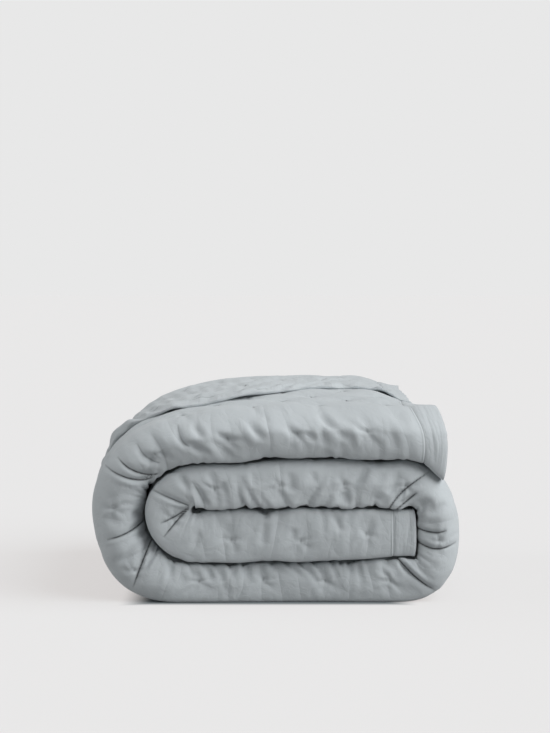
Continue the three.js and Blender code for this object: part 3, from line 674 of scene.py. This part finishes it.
slip = slipAlong()
smoothFace = facePoint(sink, slip)
pillowShare, tackU, tackV = tackPlaces()
tackGap = np.hypot(tackU, tackV)
quilting = relief["pillow"] * (1 - pillowShare) ** relief["pillowPower"]
quilting = quilting + relief["dimple"] * bell(tackGap, relief["dimpleWidth"])
twist = ripples(u, v, relief["starTwist"], *relief["starWaves"])
star = np.cos(relief["starPoints"] * np.arctan2(tackV, tackU) + twist)
star = star * bell(tackGap - relief["starAt"], relief["starWidth"]) * smooth(0, relief["starFrom"], tackGap)
quilting = quilting + relief["star"] * star
creases, calm = np.zeros_like(u), np.zeros_like(u)
for kind in ("rooted", "loose"):
    for crease in relief[kind]:
        total, weight, line = creaseSink(smoothFace, crease, kind == "rooted")
        creases = creases + total
        if weight.max() > 0:
            calm = np.maximum(calm, bell(line, relief["calm"]))
creases = creases + gathers() * (1 - relief["calmShare"] * calm)
creases = np.clip(creases, *relief["sinks"])
seamGap = np.minimum(endEdge, sideEdge) - fold["border"]
seam = relief["seam"] * bell(seamGap, relief["seamWidth"])
flapWave = ripples(u, v, relief["flapWave"], *relief["flapWaves"])
flapWave = flapWave * smooth(backEnd, backEnd + relief["flapWaveFrom"], v)
flapWave = flapWave * (1 + relief["tabCrumple"] * flapTab)
offFloor = smooth(0, relief["floorFades"], smoothFace[..., 2])
formSink = sink + ((quilting + creases) * body + seam + flapWave) * offFloor
print("creases laid")


def settle(form, free):
    # cloth relaxed on its padding: every thread is brought towards its cut length, every point is drawn to
    # the padded form, bending evens out what is too sharp, and no point moves farther than its layer's space
    before, after = cloth["frontFades"]
    wide, tight = cloth["turnFades"]
    inFront = smooth(frontStart - before, frontStart, v) * (1 - smooth(frontEnd, frontEnd + after, v))
    inner = smooth(frontStart, frontEnd, v) * inFront
    turning = sum(smooth(a - wide, a + tight, u) * (1 - smooth(b - tight, b + wide, u))
                  for a, b in zip(turnStarts, turnEnds))
    spare = cloth["spare"] + cloth["spareFront"] * inFront + cloth["spareTurn"] * turning * inner
    spare = spare * body
    restU = np.linalg.norm(np.diff(form, axis=0), axis=-1) * (1 + (spare[1:] + spare[:-1]) / 2)
    restV = np.linalg.norm(np.diff(form, axis=1), axis=-1)
    restV = restV * (1 + cloth["spareAcross"] * (body[:, 1:] + body[:, :-1]) / 2)
    restD = np.hypot((restU[:, 1:] + restU[:, :-1]) / 2, (restV[1:] + restV[:-1]) / 2)
    normal = unit(np.cross(np.gradient(form, axis=1), np.gradient(form, axis=0)))
    rough = ripples(u, v, cloth["unevenness"], *cloth["unevenWaves"])
    place = form + normal * (rough * free)[..., None]
    mobile = free[..., None]

    def pull(a, b, rest, moveA, moveB, strength):
        # two points brought towards the length of the thread between them
        d = b - a
        size = np.maximum(np.sqrt(np.einsum("ijk,ijk->ij", d, d)), tiny)
        shift = d * (0.5 * strength * (1 - rest / size))[..., None]
        a += shift * moveA
        b -= shift * moveB

    def fourSides(values):
        # the sum of the differences from a point to its four neighbours
        total = np.zeros_like(values)
        total[1:-1] += values[2:] + values[:-2] - 2 * values[1:-1]
        total[:, 1:-1] += values[:, 2:] + values[:, :-2] - 2 * values[:, 1:-1]
        return total

    for step in range(cloth["steps"]):
        for k in (0, 1):
            a, b = slice(k, -1, 2), slice(k + 1, None, 2)
            pull(place[a], place[b], restU[k::2], mobile[a], mobile[b], cloth["thread"])
            pull(place[:, a], place[:, b], restV[:, k::2], mobile[:, a], mobile[:, b], cloth["thread"])
        for k in (0, 1):
            a, b = slice(k, -1, 2), slice(k + 1, None, 2)
            pull(place[a, :-1], place[b, 1:], restD[k::2], mobile[a, :-1], mobile[b, 1:], cloth["shear"])
            pull(place[b, :-1], place[a, 1:], restD[k::2], mobile[b, :-1], mobile[a, 1:], cloth["shear"])
        move = place - form
        stiff = fourSides(fourSides(move))
        move = (move * (1 - cloth["padding"]) - cloth["stiffness"] * stiff) * mobile
        size = np.linalg.norm(move, axis=-1, keepdims=True)
        move *= np.minimum(1, cloth["most"] / np.maximum(size, tiny))
        place = form + move
        place[..., 2] = np.maximum(place[..., 2], 0)
    return place


fadeIn, fadeOut = mesh["shownFades"]
shownFrom, shownTo = frontStart - mesh["topReach"], frontEnd + mesh["insideReach"]
shown = smooth(shownFrom, shownFrom + fadeIn, v) * (1 - smooth(shownTo - fadeOut, shownTo, v))
shown = np.maximum(shown, smooth(backStart - mesh["insideReach"], backStart, v))
face = settle(facePoint(formSink, slip), shown)
# the dark lines of painted shade are drawn where the creases lie on the settled cloth
creaseShare, creaseGap = np.zeros_like(u), np.full_like(u, farAway)
for kind in ("rooted", "loose"):
    for crease in relief[kind]:
        weight, line = creaseSink(face, crease, kind == "rooted")[1:]
        creaseGap = np.where(weight > creaseShare, line, creaseGap)
        creaseShare = np.maximum(creaseShare, weight)
print("cloth settled")

hemRows = np.array(mesh["hemRows"]) * fold["border"]
inFrontFold, inBackFold = mesh["foldRows"]
liningAt = np.concatenate([
    hemRows,
    width - hemRows,
    np.linspace(frontStart, frontEnd, inFrontFold),
    np.linspace(backStart, backEnd, inBackFold),
    frontStart - np.array(mesh["topRows"]),
    [(frontEnd + backStart) / 2, (backEnd + width) / 2],
])
liningColumns = np.unique(np.abs(vRow[:, None] - liningAt).argmin(axis=0))
thickness = fold["hem"] + (padRow - fold["hem"]) * body + np.where(onFlap, flapTab, 0)
lining = facePoint(sink + thickness)[:, liningColumns]


def skinMesh(name, face, lining, columns):
    # one closed skin: rings of face rows and lining rows, and a cap of narrow faces at both ends
    ring = np.concatenate([face, lining[:, ::-1]], axis=1)
    rows, count = ring.shape[:2]
    i, j = np.meshgrid(np.arange(rows - 1), np.arange(count), indexing="ij")
    k = (j + 1) % count
    quads = np.stack([i * count + j, i * count + k, (i + 1) * count + k, (i + 1) * count + j], axis=-1)
    faces = quads.reshape(-1, 4).tolist()
    liningId = count - 1 - np.arange(len(columns))
    for a in range(len(columns) - 1):
        edge = list(range(columns[a], columns[a + 1] + 1)) + [int(liningId[a + 1]), int(liningId[a])]
        faces.append(edge[::-1])
        faces.append([(rows - 1) * count + e for e in edge])
    data = bpy.data.meshes.new(name)
    data.from_pydata(ring.reshape(-1, 3), [], faces)
    data.polygons.foreach_set("use_smooth", np.ones(len(data.polygons), bool))
    corners = np.zeros(len(data.loops), int)
    data.loops.foreach_get("vertex_index", corners)
    flat = np.stack([u, v], axis=-1)
    flat = np.concatenate([flat, flat[:, columns][:, ::-1]], axis=1).reshape(-1, 2)
    data.uv_layers.new(name="clothMetres").data.foreach_set("uv", flat[corners].ravel())
    # what the linen reads on the face, each with the value that the lining has
    for key, values, away in (("creaseGap", creaseGap, farAway), ("creaseShare", creaseShare, 0.0),
                              ("seamGap", seamGap, farAway), ("tackShare", pillowShare, 1.0),
                              ("tackU", tackU, farAway), ("tackV", tackV, farAway)):
        inside = np.full(lining.shape[:2], away)
        values = np.concatenate([values, inside], axis=1).ravel()
        data.attributes.new(key, "FLOAT", "POINT").data.foreach_set("value", values)
    data.update()
    piece = bpy.data.objects.new(name, data)
    bpy.context.scene.collection.objects.link(piece)
    return piece


quiltPiece = skinMesh("quiltCloth", face, lining, liningColumns)
print("triangles", sum(len(p.vertices) - 2 for p in quiltPiece.data.polygons))
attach(quiltPiece, "root")
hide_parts("quilt")


def node(tree, kind, settings, sockets, output=0):
    # adds a node: settings are its own values, sockets its inputs, each a constant or another node's output;
    # gives back one of its outputs
    made = tree.nodes.new("ShaderNode" + kind)
    for name, value in settings.items():
        setattr(made, name, value)
    for name, value in sockets.items():
        if isinstance(value, bpy.types.NodeSocket):
            tree.links.new(value, made.inputs[name])
        else:
            made.inputs[name].default_value = value
    return made.outputs[output]


# Washed linen, in metres of cloth. The threads of the real weave are about 0.6 mm, finer than a pixel, so
# they are drawn coarser
linen = {
    "colour": "#b3b9bc",
    "deep": "#8f9597",  # where the cloth has taken more dye
    "shadow": "#1a1b1c",  # painted shade in a sharp crease, at a tack and along a stitched line
    "mottle": 0.070, "mottleShare": 0.10,
    "thread": 0.0016,
    "wrinkle": 0.0133,
    "pleat": 0.0059, "pleatSqueeze": 0.15,  # the border's fine pleats, long along its seam
    "crimp": 0.028, "crimpSqueeze": 0.26, "crimpReach": 0.050,  # ridges across the front fold
    # the dark line of painted shade along a sharp crease: its width and strength
    "lineWidth": 0.0016, "creaseShade": 0.95,
    "speck": (0.0016, 0.0034), "tackShade": 0.75,  # painted shade at a tack, at the bottom of its dent, and the dent round it
    "dent": 0.0060,
    "tackWithin": 0.25,  # the share of a cell that may hold a tack
    "frontHides": 0.55,  # how much of a tack is lost in the crumples of the front fold
    # the stitched seam: a line of painted shade along its groove, and the ridge beside it
    "seamLine": 0.0008, "seamShade": 0.40, "seamRidge": 0.0016, "seamRidgeAt": 0.0024,
    "borderFrom": -0.002, "paddedFrom": 0.012,  # from the seam
    # strength and height of each bump, negative for a hollow
    "bumps": (
        ("wrinkle", 0.55, 0.0020),
        ("weave", 0.5, 0.00012),
        ("crimps", 0.6, 0.0105),
        ("pleats", 0.5, 0.0030),
        ("dent", -0.7, 0.0034),
        ("ridge", 0.6, 0.0020),
        ("line", -0.7, 0.0012),
    ),
    "finish": {"Roughness": 0.9, "Specular IOR Level": 0.25, "Sheen Weight": 0.12, "Sheen Roughness": 0.5},
}


def washedLinen():
    # soft blue-grey cloth, matt with a faint sheen: an uneven plain weave, faint crumples, a slightly
    # mottled dye, and sharp creases, tacks and a stitched line along the border, all three darkened by
    # painted shade
    material = bpy.data.materials.new("washedLinen")
    material.use_nodes = True
    tree = material.node_tree
    shader = tree.nodes["Principled BSDF"]
    metres = node(tree, "UVMap", {"uv_map": "clothMetres"}, {})
    made = {"across": node(tree, "SeparateXYZ", {}, {0: metres}, 1)}
    for name in ("creaseGap", "creaseShare", "seamGap", "tackShare", "tackU", "tackV"):
        made[name] = node(tree, "Attribute", {"attribute_name": name}, {}, "Fac")
    # noise of a given size along the cloth, drawn out across it where it is squeezed
    for name, size, squeeze, grain in (
        ("mottle", linen["mottle"], 1, {"Detail": 4}),
        ("wrinkle", linen["wrinkle"], 1, {"Detail": 2.5, "Roughness": 0.5, "Distortion": 0.8}),
        ("pleatNoise", linen["pleat"], linen["pleatSqueeze"], {"Detail": 1.5}),
        ("crimpNoise", linen["crimp"], linen["crimpSqueeze"], {"Detail": 0.5, "Distortion": 0.35}),
    ):
        squeezed = node(tree, "VectorMath", {"operation": "MULTIPLY"}, {0: metres, 1: (1, squeeze, 1)})
        made[name] = node(tree, "TexNoise", {}, {"Vector": squeezed, "Scale": 1 / size, **grain})
    # warp and weft: a wave texture turns by 20 radians in each unit of its scale
    pace = 2 * math.pi / (20 * linen["thread"])
    uneven = {"Distortion": 0.6, "Detail": 1, "Detail Scale": 0.3}
    for name, way in (("warp", "X"), ("weft", "Y")):
        bands = {"Vector": metres, "Scale": pace, **uneven}
        made[name] = node(tree, "TexWave", {"bands_direction": way}, bands, "Fac")
    # Gaussian bumps of height 1: e to the minus square of the distance from a place, in widths
    for name, value, middle, wide in (
        ("onFront", "across", float(frontTip), linen["crimpReach"]),
        ("crease", "creaseGap", 0, linen["lineWidth"]),
        ("speckU", "tackU", 0, linen["speck"][0]),
        ("speckV", "tackV", 0, linen["speck"][1]),
        ("dentU", "tackU", 0, linen["dent"]),
        ("dentV", "tackV", 0, linen["dent"]),
        ("seamLine", "seamGap", 0, linen["seamLine"]),
        ("ridge", "seamGap", linen["seamRidgeAt"], linen["seamRidge"]),
    ):
        inWidths = {0: made[value], 1: 1 / wide, 2: -middle / wide}
        share = node(tree, "Math", {"operation": "MULTIPLY_ADD"}, inWidths)
        square = node(tree, "Math", {"operation": "MULTIPLY"}, {0: share, 1: share})
        made[name] = node(tree, "Math", {"operation": "POWER"}, {0: math.exp(-1), 1: square})
    # sums and products, each of numbers or of what stands above it
    for name, operation, first, second in (
        ("weave", "MAXIMUM", "warp", "weft"),
        ("crimpSwing", "SUBTRACT", "crimpNoise", 0.5),
        ("crimpRidges", "ABSOLUTE", "crimpSwing", 0),
        ("crimps", "MULTIPLY", "crimpRidges", "onFront"),
        ("onBorder", "LESS_THAN", "seamGap", linen["borderFrom"]),
        ("pleats", "MULTIPLY", "pleatNoise", "onBorder"),
        ("line", "MULTIPLY", "crease", "creaseShare"),
        ("onPadding", "GREATER_THAN", "seamGap", linen["paddedFrom"]),
        ("inCell", "LESS_THAN", "tackShare", linen["tackWithin"]),
        ("tacked", "MULTIPLY", "onPadding", "inCell"),
        ("hidden", "MULTIPLY", "onFront", linen["frontHides"]),
        ("offFront", "SUBTRACT", 1, "hidden"),
        ("tackShows", "MULTIPLY", "tacked", "offFront"),
        ("speckRound", "MULTIPLY", "speckU", "speckV"),
        ("speck", "MULTIPLY", "speckRound", "tackShows"),
        ("dentRound", "MULTIPLY", "dentU", "dentV"),
        ("dent", "MULTIPLY", "dentRound", "tackShows"),
        # painted shade in the sharp creases
        ("creaseShade", "MULTIPLY", "line", linen["creaseShade"]),
        # painted shade at the tacks
        ("tackShade", "MULTIPLY", "speck", linen["tackShade"]),
        # painted shade along the seam
        ("seamShade", "MULTIPLY", "seamLine", linen["seamShade"]),
        # painted shade: the most of the crease, tack and seam shade at each point
        ("marks", "MAXIMUM", "creaseShade", "tackShade"),
        ("paintedShade", "MAXIMUM", "marks", "seamShade"),
        ("dyed", "MULTIPLY", "mottle", linen["mottleShare"]),
    ):
        sockets = {0: made.get(first, first), 1: made.get(second, second)}
        made[name] = node(tree, "Math", {"operation": operation}, sockets)
    colour = linear(linen["colour"])
    # the mottled dye first, then painted shade in the creases, at the tacks and along the seam
    for share, tint in (("dyed", linen["deep"]), ("paintedShade", linen["shadow"])):
        colour = node(tree, "Mix", {"data_type": "RGBA"}, {0: made[share], 6: colour, 7: linear(tint)}, 2)
    tree.links.new(colour, shader.inputs["Base Color"])
    below = {}
    for name, strength, height in linen["bumps"]:
        sockets = {"Strength": abs(strength), "Distance": height, "Height": made[name], **below}
        below = {"Normal": node(tree, "Bump", {"invert": strength < 0}, sockets)}
    tree.links.new(below["Normal"], shader.inputs["Normal"])
    for name, value in linen["finish"].items():
        shader.inputs[name].default_value = value
    return material


quiltPiece.data.materials.append(washedLinen())
print("linen laid on")

# Studio, in metres: pale endless floor, soft light from the upper right, camera at the photograph's angle
studio = {
    "background": "#e8e8e8",
    "sunFrom": (0.74, -0.31, 0.60),
    "sunStrength": 3.1,
    "sunAngle": 60,  # degrees, so the shadows are soft
    "rimFrom": (-0.95, 0.15, 0.30),
    "rimStrength": 0.9,
    "sky": "#ffffff",
    "skyStrength": 0.385,
    "paper": "#7c8386",
    "paperGlow": "#cbc6c4",
    # how far the quilt's foot lies on the paper, and the width of the painted contact shadow round it
    "footMiddle": -0.012, "footFront": 0.277, "footSide": 0.172, "footFade": 0.026,
    "underPaper": "#dedede",  # throws light back on the quilt and isn't seen itself
    "underDrop": 0.0004,
    "paperReach": 40,
    "frameWidth": 550, "frameHeight": 733,
    "mmPerPixel": 1.454,  # where the front fold stands farthest forward
    "floorPixel": 609, "middlePixel": 276.5,
    "distance": 3.0, "cameraHeight": 0.49,
    "sensor": 24,  # millimetres
}


def paperSheet(name, height, material):
    # a flat square round the origin, at one height
    far = studio["paperReach"]
    corners = [(-far, -far, height), (far, -far, height), (far, far, height), (-far, far, height)]
    data = bpy.data.meshes.new(name)
    data.from_pydata(corners, [], [(0, 1, 2, 3)])
    data.materials.append(material)
    sheet = bpy.data.objects.new(name, data)
    bpy.context.scene.collection.objects.link(sheet)
    return sheet


def plainPaper(name, colour):
    # pale studio paper, rough and even
    material = bpy.data.materials.new(name)
    material.use_nodes = True
    shader = material.node_tree.nodes["Principled BSDF"]
    shader.inputs["Base Color"].default_value = linear(colour)
    shader.inputs["Roughness"].default_value = 1.0
    return material, material.node_tree, shader


def glowPaperPaintedFootShadow():
    # paper with no shine that glows evenly up to the quilt's foot and no farther: the missing glow there is
    # a painted contact shadow, so the line where they touch stays dark. An S curve past the foot to the
    # sides or to the front and back, whichever is more
    material, tree, shader = plainPaper("paperPaintedFootShadow", studio["paper"])
    place = node(tree, "TexCoord", {}, {}, "Object")
    ways = {}
    for axis, middle, reach, fade in (
        (0, studio["footMiddle"], studio["footSide"], 2 * studio["footFade"]),
        (1, 0, studio["footFront"], studio["footFade"]),
    ):
        at = node(tree, "SeparateXYZ", {}, {0: place}, axis)
        away = node(tree, "Math", {"operation": "SUBTRACT"}, {0: at, 1: middle})
        gap = node(tree, "Math", {"operation": "ABSOLUTE"}, {0: away})
        curve = {0: gap, 1: reach, 2: reach + fade}
        ways[axis] = node(tree, "MapRange", {"interpolation_type": "SMOOTHSTEP"}, curve)
    glow = node(tree, "Math", {"operation": "MAXIMUM"}, ways)
    tree.links.new(glow, shader.inputs["Emission Strength"])
    shader.inputs["Emission Color"].default_value = linear(studio["paperGlow"])
    shader.inputs["Specular IOR Level"].default_value = 0.0
    return material


# the floor, with a painted contact shadow round the quilt's foot
floor = paperSheet("floor", 0, glowPaperPaintedFootShadow())
floor.visible_diffuse = False
underfloor = paperSheet("underfloor", -studio["underDrop"], plainPaper("greyPaper", studio["underPaper"])[0])
underfloor.visible_camera = False

# the sky lights the quilt, and the camera sees a plain backdrop instead of it
world = bpy.data.worlds.new("studioSky")
bpy.context.scene.world = world
world.use_nodes = True
sky = world.node_tree.nodes["Background"]
sky.inputs["Color"].default_value = linear(studio["sky"])
sky.inputs["Strength"].default_value = studio["skyStrength"]
backdrop = node(world.node_tree, "Background", {}, {"Color": linear(studio["background"])})
seen = node(world.node_tree, "LightPath", {}, {}, "Is Camera Ray")
blend = node(world.node_tree, "MixShader", {}, {0: seen, 1: sky.outputs[0], 2: backdrop})
world.node_tree.links.new(blend, world.node_tree.nodes["World Output"].inputs[0])

for name, origin, strength in (("keyLight", studio["sunFrom"], studio["sunStrength"]),
                               ("rimLight", studio["rimFrom"], studio["rimStrength"])):
    sunData = bpy.data.lights.new(name, "SUN")
    sunData.energy = strength
    sunData.angle = math.radians(studio["sunAngle"])
    sun = bpy.data.objects.new(name, sunData)
    sun.rotation_euler = Vector(origin).to_track_quat("Z", "Y").to_euler()
    bpy.context.scene.collection.objects.link(sun)

# the camera looks at the middle of the frame, on the plane of the CAD model's front
scale = studio["mmPerPixel"] / mmPerMetre
front = cadBox[0][1]
aim = Vector(((studio["frameWidth"] / 2 - studio["middlePixel"]) * scale, front,
              (studio["floorPixel"] - studio["frameHeight"] / 2) * scale))
eye = Vector((aim.x, front - studio["distance"], studio["cameraHeight"]))
cameraData = bpy.data.cameras.new("camera")
cameraData.sensor_fit = "VERTICAL"
cameraData.sensor_height = studio["sensor"]
cameraData.lens = studio["sensor"] * (aim - eye).length / (studio["frameHeight"] * scale)
camera = bpy.data.objects.new("camera", cameraData)
camera.location = eye
camera.rotation_euler = (aim - eye).to_track_quat("-Z", "Y").to_euler()
bpy.context.scene.collection.objects.link(camera)
bpy.context.scene.camera = camera
bpy.context.scene.view_settings.view_transform = "Standard"
print("studio set")
